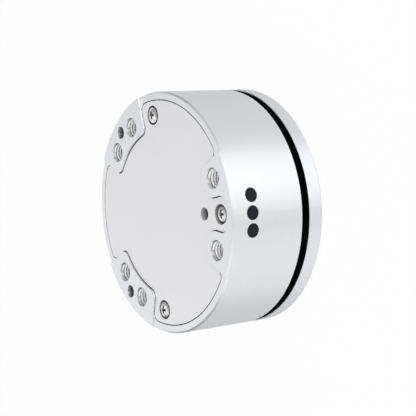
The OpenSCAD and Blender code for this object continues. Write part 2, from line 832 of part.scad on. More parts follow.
// Screws that hold the rim of the cross to the body's shoulder
module rim_screws() color("dimgray")
    for (a = rim_screw_angles) at_polar(ring_reach, a) translate([0, 0, z_cross + rim_head_h])
        mirror([0, 0, 1])
            cap_screw(rim_screw_d, rim_head_d, rim_head_h, cross_t - rim_head_h + rim_grip);

// Stop pins, fixed in the flange, that end an overload in the holes of the cross
module stop_pins() color("lightgray")
    for (a = quarter_angles) at_polar(ring_reach, a)
        round_bar(stop_pin_d / 2, flange_t - stop_pin_grip, z_cross + stop_pin_l);

// Six-sided tube that holds a board
module standoff(z_low, z_high) {
    difference() {
        translate([0, 0, z_low])
            cylinder(d = standoff_af / cos(30), h = z_high - z_low, $fn = 6);
        round_bar(board_screw_d / 2 + screw_gap / 2, z_low - eps, z_high + eps);
    }
}

// Standoffs between the shoulder and the lower board
module lower_standoffs() color("khaki")
    for (a = standoff_angles) at_polar(ring_reach, a) standoff(z_shoulder, z_lower_board);

// Standoffs between the two boards
module upper_standoffs() color("khaki")
    for (a = standoff_angles) at_polar(ring_reach, a) standoff(z_lower_top, z_upper_board);

// Screws through both boards into the shoulder
module board_screws() color("dimgray")
    for (a = standoff_angles) at_polar(ring_reach, a) translate([0, 0, z_upper_top])
        cap_screw(board_screw_d, board_head_d, board_head_h, z_upper_top - z_shoulder + board_grip);

// Outline that both boards share, with the socket's notch and the screw holes
module board_outline() {
    difference() {
        cavity_outline(board_gap);
        translate([-far_r - notch_reach, -notch_half_w]) square([far_r, 2 * notch_half_w]);
        for (a = standoff_angles) at_polar(ring_reach, a) circle(board_screw_d / 2 + screw_gap / 2);
    }
}

// Lower board, with a tongue that carries the light board
module signal_board() color("darkgreen")
    plate(z_lower_board, z_lower_top) {
        board_outline();
        translate([light_board_in - tongue_lip, -light_board_w / 2])
            square([tongue_lip + light_board_t + light_t, light_board_w]);
    }

// Upper board, cut out round the cover's lugs
module interface_board() color("darkgreen")
    plate(z_upper_board, z_upper_top) difference() {
        board_outline();
        lugs_outline(board_gap);
    }

// Flat part on a board, centred on its place, whose lower face is at z
module board_part(place, size, h, z) {
    translate([place[0] - size[0] / 2, place[1] - size[1] / 2, z]) cube([size[0], size[1], h]);
}

// Amplifiers under the lower board, one for each beam
module amplifier_chips() color("black")
    for (a = quarter_angles) at_polar(amplifier_reach, a)
        board_part([0, 0], [amplifier_w, amplifier_w], chip_h, z_lower_board - chip_h);

// Converter on the lower board
module converter_chip() color("black")
    board_part(converter_place, [chip_w, chip_w], chip_h, z_lower_top);

// Header between the two boards
module board_header() color("black")
    board_part(header_place, header_size, upper_standoff_h, z_lower_top);

// Capacitors in two rows on the lower board
module board_capacitors() color("tan")
    for (x = capacitor_columns, y = capacitor_rows)
        board_part([x, y], capacitor_size, chip_h, z_lower_top);

// Processor on the upper board
module processor_chip() color("black")
    board_part(processor_place, [chip_w, chip_w], chip_h, z_upper_top);

// Network chip on the upper board
module network_chip() color("black")
    board_part(network_place, [amplifier_w, amplifier_w], chip_h, z_upper_top);

// Crystal on the upper board
module board_crystal() color("lightgray")
    board_part(crystal_place, crystal_size, chip_h, z_upper_top);

// Upright board behind the status windows
module light_board() color("darkgreen")
    translate([light_board_in, -light_board_w / 2, z_lower_top])
        cube([light_board_t, light_board_w, light_board_h]);

// Status lights, one behind each window
module status_lights() color("white")
    for (a = window_angles)
        translate([light_reach, bay_out_r * sin(a) - light_w / 2, z_window - light_w / 2])
            cube([light_t, light_w, light_w]);

// Smoked windows, set in the wall a little under its surface
module status_windows() color([0.2, 0.2, 0.22])
    for (a = window_angles) intersection() {
        window_bar(body_r, bay_out_r - window_tail, a);
        round_bar(body_r - window_sink, z_window - window_d, z_window + window_d);
    }

// Metal shell of the connector
module socket_shell() color("lightgray")
    difference() {
        union() {
            socket_bar(socket_hole_r, socket_axis_reach + washer_t, cavity_r - socket_tail);
            translate([-socket_axis_reach - washer_t, 0, z_socket]) rotate([0, -90, 0])
                cylinder(d = socket_af / cos(30), h = socket_hex_t, $fn = 6);
            socket_bar(socket_d / 2, shell_front, shell_front - socket_l - eps);
        }
        socket_bar(core_r, shell_front + eps, cavity_r - socket_tail - eps);
    }

// Places the children on the contacts' axes, with +Z pointing outwards
module at_contacts(reach) {
    translate([-reach, 0, z_socket]) rotate([0, -90, 0]) {
        children();
        for (i = [0:contact_count - 1]) at_polar(contact_circle_d / 2, (i + 0.5) * 360 / contact_count)
            children();
    }
}

// Insulating insert that holds the contacts
module socket_insert() color([0.12, 0.12, 0.13])
    difference() {
        socket_bar(core_r, core_front, core_back);
        at_contacts(core_back - eps) cylinder(d = contact_d, h = core_l + 2 * eps);
    }

// Contacts, tubes in front and stubs behind
module socket_contacts() color("gold")
    at_contacts(core_back - contact_stub) difference() {
        cylinder(d = contact_d, h = contact_stub + core_l);
        translate([0, 0, contact_stub + core_l / 2]) cylinder(d = contact_d / 2, h = core_l);
    }

// Washer that seals the hexagon on the flat spot
module socket_washer() color([0.15, 0.15, 0.15])
    difference() {
        socket_bar(socket_af / 2, socket_axis_reach + washer_t, socket_axis_reach);
        socket_bar(socket_hole_r, socket_axis_reach + washer_t + eps, socket_axis_reach - eps);
    }

// Small round board that the contacts are soldered to
module socket_board() color("darkgreen")
    difference() {
        socket_bar(socket_board_r, core_back, core_back - tail_board_t);
        at_contacts(core_back - tail_board_t - eps)
            cylinder(d = contact_d, h = tail_board_t + 2 * eps);
    }

// Flat ribbon from the small board onto the upper board
module socket_ribbon() color("peru")
    translate([tail_board_t - core_back, -ribbon_w / 2, z_upper_top])
        cube([ribbon_l, ribbon_w, lead_t]);

body_housing();
thread_inserts();
cover_plate();
cover_gasket();
cover_screws();
tool_flange();
tool_inserts();
gap_seal();
measuring_cross();
strain_gauges();
gauge_leads();
hub_screws();
hub_dowels();
rim_screws();
stop_pins();
lower_standoffs();
signal_board();
amplifier_chips();
converter_chip();
board_header();
board_capacitors();
upper_standoffs();
interface_board();
processor_chip();
network_chip();
board_crystal();
board_screws();
light_board();
status_lights();
status_windows();
socket_shell();
socket_insert();
socket_contacts();
socket_washer();
socket_board();
socket_ribbon();
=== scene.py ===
"""Dress a six-axis force torque sensor: finishes, inserts, connector, boards and studio."""

import logging
import math
from collections.abc import Callable
from dataclasses import dataclass, field, replace
from enum import Enum

import bmesh
import bpy
from mathutils import Matrix, Vector


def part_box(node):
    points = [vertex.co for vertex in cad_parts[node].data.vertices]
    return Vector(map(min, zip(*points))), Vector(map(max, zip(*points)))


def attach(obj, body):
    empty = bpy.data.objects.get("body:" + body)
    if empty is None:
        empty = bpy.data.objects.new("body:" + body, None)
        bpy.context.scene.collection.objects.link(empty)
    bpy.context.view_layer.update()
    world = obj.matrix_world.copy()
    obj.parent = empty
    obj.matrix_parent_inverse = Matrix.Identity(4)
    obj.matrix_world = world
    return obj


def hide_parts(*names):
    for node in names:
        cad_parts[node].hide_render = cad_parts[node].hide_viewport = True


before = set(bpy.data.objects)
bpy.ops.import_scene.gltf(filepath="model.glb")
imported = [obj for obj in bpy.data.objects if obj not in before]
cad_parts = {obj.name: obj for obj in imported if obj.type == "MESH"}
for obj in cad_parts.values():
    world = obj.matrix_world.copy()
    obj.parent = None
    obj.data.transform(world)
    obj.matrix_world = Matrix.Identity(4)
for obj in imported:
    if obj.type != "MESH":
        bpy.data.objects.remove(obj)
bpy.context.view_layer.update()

MM = 0.001
BODY = "root"
SHARP = math.radians(28)  # faces that meet at more than this keep a sharp edge
LEVEL = 0.01 * MM  # points this close in height count as level
SHUT_SHARE = 0.6  # share of the open threshold at which a recess gets the full painted shade
PAINTED_SHADE_SHARE = 0.04  # how much of a finish's colour shows under full painted shade
TRACK_GAIN = 1.6  # how much lighter the board is over a track
WORN_LIGHT = 0.9  # reflectance that handling polishes an edge towards
Colour = tuple[float, float, float]
log = logging.getLogger("sensor")


class Grain(Enum):
    """Surface texture that a process leaves on a material."""

    TURNED = "turned"
    BLASTED = "blasted"
    MOULDED = "moulded"
    PRINTED = "printed"


class Wiring:
    """Adds and joins the nodes of one node tree."""

    def __init__(self, tree: bpy.types.NodeTree) -> None:
        """Keep the tree that the nodes go into."""
        self.tree = tree

    def node(self, kind: str, **settings: object) -> bpy.types.Node:
        """Add a node.

        Args:
            kind: The part of the node type's name after "ShaderNode".
            **settings: Properties to set on the node.

        Returns:
            The new node.
        """
        made = self.tree.nodes.new("ShaderNode" + kind)
        for name, value in settings.items():
            setattr(made, name, value)
        return made

    def feed(self, socket: bpy.types.NodeSocket, value: object) -> None:
        """Link a socket to an output, or set it to a plain value.

        Args:
            socket: The input to feed.
            value: An output socket, a number, a colour or a vector.
        """
        if isinstance(value, bpy.types.NodeSocket):
            self.tree.links.new(value, socket)
        else:
            socket.default_value = value

    def math(self, operation: str, *values: object) -> bpy.types.NodeSocket:
        """Work out one number from others.

        Args:
            operation: Name of the Math node's operation.
            *values: Numbers or outputs, in the node's order.

        Returns:
            The output that carries the result.
        """
        made = self.node("Math", operation=operation)
        for socket, value in zip(made.inputs, values):
            self.feed(socket, value)
        return made.outputs[0]

    def stretch(
        self, value: object, low: object, high: object, to_low: float, to_high: float
    ) -> bpy.types.NodeSocket:
        """Map one range of numbers smoothly onto another.

        Args:
            value: The output to map.
            low: Start of the range that comes in, a number or an output.
            high: End of the range that comes in, a number or an output.
            to_low: What the start becomes.
            to_high: What the end becomes.

        Returns:
            The output that carries the mapped number.
        """
        made = self.node("MapRange", interpolation_type="SMOOTHSTEP")
        for socket, number in zip(made.inputs, (value, low, high, to_low, to_high)):
            self.feed(socket, number)
        return made.outputs[0]

    def blend(self, share: object, first: object, second: object) -> bpy.types.NodeSocket:
        """Mix two colours.

        Args:
            share: How much of the second colour shows.
            first: The colour at a share of 0.
            second: The colour at a share of 1.

        Returns:
            The mixed colour's output.
        """
        made = self.node("Mix", data_type="RGBA")
        self.feed(made.inputs[0], share)
        for socket, colour in ((made.inputs[6], first), (made.inputs[7], second)):
            self.feed(socket, colour if isinstance(colour, bpy.types.NodeSocket) else (*colour, 1.0))
        return made.outputs[2]


@dataclass(frozen=True)
class Effect:
    """A shader node group with named inputs and outputs, built once and shared by the finishes."""

    name: str
    inputs: tuple[tuple[str, float], ...]
    outputs: tuple[tuple[str, str], ...]
    wire: Callable[[Wiring, bpy.types.NodeOutputs, bpy.types.NodeInputs], None]

    def group(self) -> bpy.types.NodeTree:
        """Build the group at first use.

        Returns:
            The node group.
        """
        if self.name in bpy.data.node_groups:
            return bpy.data.node_groups[self.name]
        tree = bpy.data.node_groups.new(self.name, "ShaderNodeTree")
        for name, value in self.inputs:
            socket = tree.interface.new_socket(name, in_out="INPUT", socket_type="NodeSocketFloat")
            socket.default_value = value
        for name, kind in self.outputs:
            tree.interface.new_socket(name, in_out="OUTPUT", socket_type="NodeSocket" + kind)
        given = tree.nodes.new("NodeGroupInput").outputs
        self.wire(Wiring(tree), given, tree.nodes.new("NodeGroupOutput").inputs)
        return tree

    def place(self, wiring: Wiring, **values: float) -> bpy.types.NodeOutputs:
        """Put the group into a material.

        Args:
            wiring: The material's wiring.
            **values: A value for each named input that differs from the group's own.

        Returns:
            The group node's outputs.
        """
        made = wiring.node("Group")
        made.node_tree = self.group()
        for name, value in values.items():
            made.inputs[name].default_value = value
        return made.outputs


def wire_turning(w: Wiring, given: bpy.types.NodeOutputs, out: bpy.types.NodeInputs) -> None:
    """Fine tool lines that run round the sensor's axis, on walls and faces alike.

    Args:
        w: Wiring of the group.
        given: The group's inputs.
        out: The group's outputs.
    """
    place = w.node("TexCoord").outputs["Object"]
    split = w.node("SeparateXYZ")
    w.feed(split.inputs[0], place)
    x, y, z = split.outputs
    reach = w.math("SQRT", w.math("ADD", w.math("MULTIPLY", x, x), w.math("MULTIPLY", y, y)))
    along = w.math("MULTIPLY", w.math("ADD", reach, z), given["Lines"])
    joined = w.node("CombineXYZ")
    drifts = (w.math("MULTIPLY", x, given["Drift"]), w.math("MULTIPLY", y, given["Drift"]))
    for socket, value in zip(joined.inputs, (*drifts, along)):
        w.feed(socket, value)
    noise = w.node("TexNoise", noise_dimensions="3D")
    w.feed(noise.inputs["Vector"], joined.outputs[0])
    w.feed(noise.inputs["Scale"], 1.0)
    w.feed(noise.inputs["Detail"], 3.0)
    w.feed(out["Tone"], w.stretch(noise.outputs["Fac"], 0.3, 0.7, 0.0, 1.0))
    w.feed(out["Height"], noise.outputs["Fac"])


def wire_speckle(w: Wiring, given: bpy.types.NodeOutputs, out: bpy.types.NodeInputs) -> None:
    """Fine even speckle, as blasting, moulding or anodising leaves it.

    Args:
        w: Wiring of the group.
        given: The group's inputs.
        out: The group's outputs.
    """
    place = w.node("TexCoord").outputs["Object"]
    fine = w.node("TexNoise")
    w.feed(fine.inputs["Vector"], place)
    w.feed(fine.inputs["Scale"], given["Grains"])
    w.feed(fine.inputs["Detail"], 4.0)
    broad = w.node("TexNoise")
    w.feed(broad.inputs["Vector"], place)
    w.feed(broad.inputs["Scale"], given["Patches"])
    w.feed(broad.inputs["Detail"], 2.0)
    w.feed(out["Tone"], w.stretch(broad.outputs["Fac"], 0.3, 0.7, 0.0, 1.0))
    w.feed(out["Height"], fine.outputs["Fac"])


def wire_soft_edge(w: Wiring, given: bpy.types.NodeOutputs, out: bpy.types.NodeInputs) -> None:
    """Rounds sharp edges for the light, and masks where handling has polished them.

    Args:
        w: Wiring of the group.
        given: The group's inputs.
        out: The group's outputs.
    """
    bevel = w.node("Bevel", samples=6)
    w.feed(bevel.inputs["Radius"], given["Radius"])
    straight = w.node("NewGeometry").outputs["Normal"]
    dot = w.node("VectorMath", operation="DOT_PRODUCT")
    w.feed(dot.inputs[0], bevel.outputs[0])
    w.feed(dot.inputs[1], straight)
    noise = w.node("TexNoise")
    w.feed(noise.inputs["Vector"], w.node("TexCoord").outputs["Object"])
    w.feed(noise.inputs["Scale"], 900.0)
    wear = w.stretch(dot.outputs["Value"], 0.995, 0.9, 0.0, 1.0)
    w.feed(out["Normal"], bevel.outputs[0])
    w.feed(out["Wear"], w.math("MULTIPLY", wear, w.stretch(noise.outputs["Fac"], 0.35, 0.6, 0.4, 1.0)))


def wire_crevice(w: Wiring, given: bpy.types.NodeOutputs, out: bpy.types.NodeInputs) -> None:
    """Finds recesses, gaps and bores by ambient occlusion, as the mask for painted shade where little
    light gets in.

    Args:
        w: Wiring of the group.
        given: The group's inputs.
        out: The group's outputs.
    """
    shut_in = w.node("AmbientOcclusion", samples=8)
    w.feed(shut_in.inputs["Distance"], given["Reach"])
    shut = w.math("MULTIPLY", given["Open"], SHUT_SHARE)
    # painted shade mask: 0 where the surface is open, 1 deep in recesses and gaps
    w.feed(out["Shade"], w.stretch(shut_in.outputs["AO"], given["Open"], shut, 0.0, 1.0))


def wire_tracks(w: Wiring, given: bpy.types.NodeOutputs, out: bpy.types.NodeInputs) -> None:
    """Patches of straight copper tracks, and plated holes, as on a printed circuit board.

    Args:
        w: Wiring of the group.
        given: The group's inputs.
        out: The group's outputs.
    """
    place = w.node("TexCoord").outputs["Object"]
    split = w.node("SeparateXYZ")
    patch, holes = w.node("TexVoronoi", distance="CHEBYCHEV"), w.node("TexVoronoi")
    w.feed(split.inputs[0], place)
    for cells, scale in ((patch, given["Patches"]), (holes, given["Holes"])):
        w.feed(cells.inputs["Vector"], place)
        w.feed(cells.inputs["Scale"], scale)
    chance = w.node("SeparateColor")
    w.feed(chance.inputs[0], patch.outputs["Color"])
    chosen = chance.outputs[0]
    shares = (w.stretch(chosen, 0.36, 0.35, 0.0, 1.0), w.stretch(chosen, 0.64, 0.65, 0.0, 1.0))
    rows = []
    for axis, share in zip(("X", "Y"), shares):
        across = w.math("PINGPONG", w.math("MULTIPLY", split.outputs[axis], given["Lines"]), 0.5)
        rows.append(w.math("MULTIPLY", share, w.stretch(across, 0.31, 0.35, 0.0, 1.0)))
    w.feed(out["Track"], w.math("MAXIMUM", *rows))
    w.feed(out["Hole"], w.stretch(holes.outputs["Distance"], 0.11, 0.09, 0.0, 1.0))


TEXTURE = (("Tone", "Float"), ("Height", "Float"))
TURNING = Effect("turning_lines", (("Lines", 4000.0), ("Drift", 60.0)), TEXTURE, wire_turning)
SPECKLE = Effect("fine_speckle", (("Grains", 5000.0), ("Patches", 120.0)), TEXTURE, wire_speckle)
SOFT_EDGE = Effect(
    "soft_edge", (("Radius", 0.0001),), (("Normal", "Vector"), ("Wear", "Float")), wire_soft_edge
)
TRACKS = Effect(
    "printed_tracks",
    (("Lines", 1300.0), ("Patches", 190.0), ("Holes", 380.0)),
    (("Track", "Float"), ("Hole", "Float")),
    wire_tracks,
)
CREVICE = Effect("crevice", (("Reach", 0.001), ("Open", 0.6)), (("Shade", "Float"),), wire_crevice)


@dataclass(frozen=True)
class Finish:
    """One material of the sensor, named after the record's slot.

    Colours are linear. Lengths are in metres, and grains are counted per metre.
    """

    slot: str
    colour: Colour
    roughness: float
    metallic: float = 0.0
    grain: Grain = Grain.BLASTED
    grains: float = 5000.0
    tone: float = 0.04
    uneven: float = 0.04
    depth: float = 2e-6
    edge: float = 1.0e-4
    polish: float = 0.25
    anisotropy: float = 0.0
    flat_share: float = 0.75
    coat: float = 0.0
    specular: float = 0.5
    # painted shade: how far the colour darkens in recesses, gaps and bores, how far the occlusion looks,
    # and the openness above which no shade is painted
    painted_shade: float = 0.0
    painted_shade_reach: float = 1.0e-3
    painted_shade_open: float = 0.6

    def shaded(self, w: Wiring, tone: bpy.types.NodeSocket, wear: bpy.types.NodeSocket) -> object:
        """Colour the surface.

        Args:
            w: Wiring of the material.
            tone: Slow change of tone over the surface, 0 to 1.
            wear: Mask of the polished edges.

        Returns:
            The base colour's output.
        """
        dark = tuple(c * (1 - self.tone) for c in self.colour)
        light = tuple(min(1.0, c * (1 + self.tone)) for c in self.colour)
        bright = tuple(min(1.0, c + self.polish * (WORN_LIGHT - c)) for c in self.colour)
        base = w.blend(tone, dark, light)
        if self.grain is Grain.PRINTED:
            print_work = TRACKS.place(w)
            raised = tuple(min(1.0, TRACK_GAIN * c) for c in self.colour)
            tracked = w.blend(print_work["Track"], base, raised)
            base = w.blend(print_work["Hole"], tracked, CONTACT_GOLD.colour)
        clean = w.blend(wear, base, bright)
        # painted shade: the colour is darkened where ambient occlusion finds recesses, gaps and bores
        if not self.painted_shade:
            return clean
        shade = CREVICE.place(w, Reach=self.painted_shade_reach, Open=self.painted_shade_open)["Shade"]
        painted_shade_colour = tuple(PAINTED_SHADE_SHARE * c for c in self.colour)
        return w.blend(w.math("MULTIPLY", shade, self.painted_shade), clean, painted_shade_colour)

    def material(self) -> bpy.types.Material:
        """Build the material at first use.

        Returns:
            The material.
        """
        name = "finish_" + self.slot
        if name in bpy.data.materials:
            return bpy.data.materials[name]
        made = bpy.data.materials.new(name)
        made.use_nodes = True
        made.diffuse_color = (*self.colour, 1.0)
        w = Wiring(made.node_tree)
        shader = made.node_tree.nodes["Principled BSDF"]
        if self.grain is Grain.TURNED:
            texture = TURNING.place(w, Lines=self.grains)
        else:
            texture = SPECKLE.place(w, Grains=self.grains)
        edges = SOFT_EDGE.place(w, Radius=self.edge)
        w.feed(shader.inputs["Base Color"], self.shaded(w, texture["Tone"], edges["Wear"]))
        w.feed(shader.inputs["Metallic"], self.metallic)
        smooth, coarse = self.roughness - self.uneven, self.roughness + self.uneven
        rough = w.stretch(texture["Tone"], 0.0, 1.0, smooth, coarse)
        if self.anisotropy:
            w.feed(shader.inputs["Anisotropic"], self.anisotropy)
            w.feed(shader.inputs["Tangent"], self.across_lines(w))
            rough = w.math("MULTIPLY", rough, w.stretch(self.flatness(w), 0.0, 1.0, 1.0, self.flat_share))
        w.feed(shader.inputs["Roughness"], rough)
        bump = w.node("Bump")
        w.feed(bump.inputs["Strength"], 1.0)
        w.feed(bump.inputs["Distance"], self.depth)
        w.feed(bump.inputs["Height"], texture["Height"])
        w.feed(bump.inputs["Normal"], edges["Normal"])
        w.feed(shader.inputs["Normal"], bump.outputs[0])
        w.feed(shader.inputs["Coat Weight"], self.coat)
        w.feed(shader.inputs["Specular IOR Level"], self.specular)
        return made

    @staticmethod
    def flatness(w: Wiring) -> bpy.types.NodeSocket:
        """Tell the faces that lie flat from the walls.

        Args:
            w: Wiring of the material.

        Returns:
            1 on the flat faces and 0 on the walls.
        """
        facing = w.node("SeparateXYZ")
        w.feed(facing.inputs[0], w.node("NewGeometry").outputs["True Normal"])
        return w.stretch(w.math("ABSOLUTE", facing.outputs["Z"]), 0.75, 0.95, 0.0, 1.0)

    @classmethod
    def across_lines(cls, w: Wiring) -> bpy.types.NodeSocket:
        """Direction across the tool lines: up the walls, and along X on the flat faces.

        Args:
            w: Wiring of the material.

        Returns:
            The direction's output.
        """
        flat = cls.flatness(w)
        made = w.node("CombineXYZ")
        w.feed(made.inputs["X"], flat)
        w.feed(made.inputs["Z"], w.math("SUBTRACT", 1.0, flat))
        return made.outputs[0]

    def dress(self, *nodes: str) -> None:
        """Give CAD nodes this finish in every slot of theirs."""
        for node in nodes:
            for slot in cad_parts[node].material_slots:
                slot.material = self.material()
            log.info("%s: %s", node, self.slot)


# painted shade in the body's bores, gaps and counterbores
BODY_ALUMINIUM = Finish(
    "body_aluminium", (0.80, 0.805, 0.82), 0.50, 1.0, Grain.TURNED, 6000.0, tone=0.012,
    uneven=0.02, depth=6e-7, edge=1.4e-4, anisotropy=0.85, painted_shade=0.9, painted_shade_reach=5.0e-3,
    painted_shade_open=0.48,
)
# painted shade in the cover's gaps, holes and counterbores
COVER_ALUMINIUM = Finish(
    "cover_aluminium", (0.89, 0.885, 0.89), 0.62, 1.0, grains=9000.0, tone=0.01, uneven=0.03,
    depth=5e-7, edge=8e-5, painted_shade=0.55, painted_shade_reach=5.0e-3, painted_shade_open=0.36,
)
# the flange copies the body's painted shade
FLANGE_ALUMINIUM = replace(BODY_ALUMINIUM, slot="flange_aluminium", colour=(0.79, 0.80, 0.82))
CROSS_ALUMINIUM = Finish(
    "cross_aluminium", (0.84, 0.84, 0.84), 0.30, 1.0, grains=3000.0, tone=0.02, uneven=0.05,
    depth=8e-7, edge=6e-5,
)
# painted shade in screw recesses and on head sides that stand in counterbores
BRIGHT_STEEL = Finish(
    "bright_steel", (0.80, 0.79, 0.77), 0.28, 1.0, grains=9000.0, tone=0.05, depth=4e-7,
    edge=8e-5, painted_shade=1.0, painted_shade_reach=1.3e-3, painted_shade_open=1.0,
)
INSERT_STEEL = Finish(
    "insert_steel", (0.90, 0.90, 0.89), 0.55, 1.0, grains=9000.0, tone=0.03, depth=4e-7,
    edge=3e-5,
)
DARK_STEEL = Finish(
    "dark_steel", (0.030, 0.030, 0.033), 0.42, 0.85, grains=9000.0, tone=0.15, edge=8e-5,
    polish=0.12,
)
SEAL_BLACK = Finish(
    "seal_black", (0.001, 0.001, 0.001), 0.8, grains=4000.0, tone=0.2, polish=0.0,
    specular=0.0,
)
GASKET_GREY = Finish(
    "gasket_grey", (0.10, 0.10, 0.11), 0.75, grains=5000.0, tone=0.1, polish=0.0,
    specular=0.3,
)
STANDOFF_BRASS = Finish(
    "standoff_brass", (0.80, 0.58, 0.26), 0.25, 1.0, Grain.TURNED, 8000.0, depth=8e-7,
    edge=5e-5,
)
CHIP_BLACK = Finish(
    "chip_black", (0.018, 0.018, 0.019), 0.55, grain=Grain.MOULDED, grains=12000.0,
    tone=0.15, polish=0.03,
)
CAPACITOR_TAN = Finish(
    "capacitor_tan", (0.42, 0.27, 0.14), 0.45, grain=Grain.MOULDED, grains=9000.0, polish=0.1
)
LIGHT_WHITE = Finish(
    "light_white", (0.82, 0.82, 0.78), 0.4, grain=Grain.MOULDED, grains=9000.0, polish=0.1
)
WINDOW_SMOKE = Finish(
    "window_smoke", (0.008, 0.009, 0.013), 0.28, grain=Grain.MOULDED, grains=3000.0,
    tone=0.1, depth=3e-7, edge=4e-4, polish=0.02, specular=0.15,
)
SOCKET_NICKEL = Finish(
    "socket_nickel", (0.70, 0.66, 0.60), 0.20, 1.0, grains=8000.0, tone=0.03, depth=4e-7,
    edge=6e-5,
)
SOCKET_BLACK = Finish(
    "socket_black", (0.012, 0.012, 0.013), 0.5, grain=Grain.MOULDED, grains=9000.0, polish=0.03
)
CONTACT_GOLD = Finish(
    "contact_gold", (0.95, 0.70, 0.28), 0.18, 1.0, grains=9000.0, tone=0.03, depth=4e-7,
    edge=4e-5,
)
BOARD_GREEN = Finish(
    "board_green", (0.010, 0.11, 0.045), 0.35, grain=Grain.PRINTED, grains=6000.0, tone=0.2,
    coat=0.2,
)
GAUGE_FOIL = Finish(
    "gauge_foil", (0.52, 0.27, 0.06), 0.3, grain=Grain.MOULDED, grains=6000.0, tone=0.1
)
LEAD_FILM = Finish(
    "lead_film", (0.55, 0.24, 0.04), 0.28, grain=Grain.MOULDED, grains=6000.0, tone=0.1
)
CARD_BLACK = Finish(
    "card_black", (0.004, 0.004, 0.004), 0.9, grains=900.0, polish=0.0, specular=0.0
)


def add_piece(name: str, shape: bmesh.types.BMesh, finish: Finish, *stands_for: str) -> bpy.types.Object:
    """Make a piece that rides on the sensor's body.

    Args:
        name: The piece's name.
        shape: Its mesh, in metres in the sensor's frame, which is freed.
        finish: Its material.
        *stands_for: CAD nodes that it replaces.

    Returns:
        The new object.
    """
    bmesh.ops.recalc_face_normals(shape, faces=shape.faces)
    mesh = bpy.data.meshes.new(name)
    shape.to_mesh(mesh)
    shape.free()
    mesh.set_sharp_from_angle(angle=SHARP)
    mesh.materials.append(finish.material())
    piece = bpy.data.objects.new(name, mesh)
    bpy.context.scene.collection.objects.link(piece)
    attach(piece, BODY)
    if stands_for:
        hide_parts(*stands_for)
    log.info("%s: %d faces, %s", name, len(mesh.polygons), finish.slot)
    return piece


def sweep(shape: bmesh.types.BMesh, rings: list[list[Vector]], closed: bool = False) -> None:
    """Skin a row of rings with quads, and cap its ends unless it closes on itself.

    Args:
        shape: The mesh to add to.
        rings: Rings of points, all of one length.
        closed: Whether the last ring joins the first.
    """
    rows = [[shape.verts.new(p) for p in ring] for ring in rings]
    if closed:
        rows.append(rows[0])
    for before, after in zip(rows, rows[1:]):
        for k in range(len(before)):
            nxt = (k + 1) % len(before)
            shape.faces.new((before[k], before[nxt], after[nxt], after[k])).smooth = True
    if not closed:
        shape.faces.new(rows[0])
        shape.faces.new(list(reversed(rows[-1])))


def lower_middles(node: str, count: int, spread: float) -> list[Vector]:
    """Find the middle of the lower end of each solid of a CAD node.

    Args:
        node: The CAD node.
        count: How many solids it holds.
        spread: Length that no single solid reaches across, and no two together stay under.

    Returns:
        One point for each solid.
    """
    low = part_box(node)[0].z
    ends: list[list[Vector]] = []
    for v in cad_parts[node].data.vertices:
        if v.co.z - low > LEVEL:
            continue
        near = next((e for e in ends if (e[0] - v.co).length < spread), None)
        if near is None:
            ends.append([v.co.copy()])
        else:
            near.append(v.co.copy())
    if len(ends) != count:
        raise ValueError(f"{node}: {len(ends)} lower ends were found, not {count}")
    middles = []
    for end in ends:
        xs, ys = [p.x for p in end], [p.y for p in end]
        middles.append(Vector(((min(xs) + max(xs)) / 2, (min(ys) + max(ys)) / 2, low)))
    return middles


@dataclass
class Coil:
    """A coil of shaped wire, as in a thread insert.

    The wire's inner and outer half widths, flat and root, are shares of half a pitch.
    """

    pitch: float
    inner: float
    outer: float
    turns: int
    steps: int = 40
    flat: float = 0.3
    root: float = 0.98

    def rings(self, foot: Vector, axis: Vector) -> list[list[Vector]]:
        """Rings of the wire's four corners along the coil.

        Args:
            foot: Centre of the coil's lower end.
            axis: Direction from the lower end to the upper end.

        Returns:
            The rings, ready for sweep.
        """
        turn = axis.to_track_quat("Z", "Y").to_matrix()
        half = self.pitch / 2
        corners = (
            (self.inner, -self.flat), (self.inner, self.flat),
            (self.outer, self.root), (self.outer, -self.root),
        )
        made = []
        for k in range((self.turns - 1) * self.steps + 1):
            a, rise = 2 * math.pi * k / self.steps, self.pitch * (k / self.steps + 0.5)
            made.append([
                foot + turn @ Vector((r * math.cos(a), r * math.sin(a), rise + side * half))
                for r, side in corners
            ])
        return made


@dataclass
class ThreadInserts:
    """Coils of drawn wire that line the threaded holes of both sides."""

    outer_d: float = 5.84 * MM
    inner_d: float = 5.0 * MM
    pitch: float = 1.0 * MM
    clear: float = 0.02 * MM
    robot_turns: int = 9
    tool_turns: int = 6
    spread: float = 7 * MM
    robot_coil: Coil = field(init=False)
    tool_coil: Coil = field(init=False)

    def __post_init__(self) -> None:
        """Size the coils of both sides alike but for their turns."""
        inner, outer = self.inner_d / 2, self.outer_d / 2 - self.clear
        self.robot_coil = Coil(self.pitch, inner, outer, self.robot_turns)
        self.tool_coil = Coil(self.pitch, inner, outer, self.tool_turns)

    def build(self) -> None:
        """Make the coils of each side as one piece."""
        sides = (("thread_inserts", 6, self.robot_coil), ("tool_inserts", 4, self.tool_coil))
        for node, count, coil in sides:
            shape = bmesh.new()
            for foot in lower_middles(node, count, self.spread):
                sweep(shape, coil.rings(foot, Vector((0, 0, 1))))
            add_piece(node + "_coils", shape, INSERT_STEEL, node)


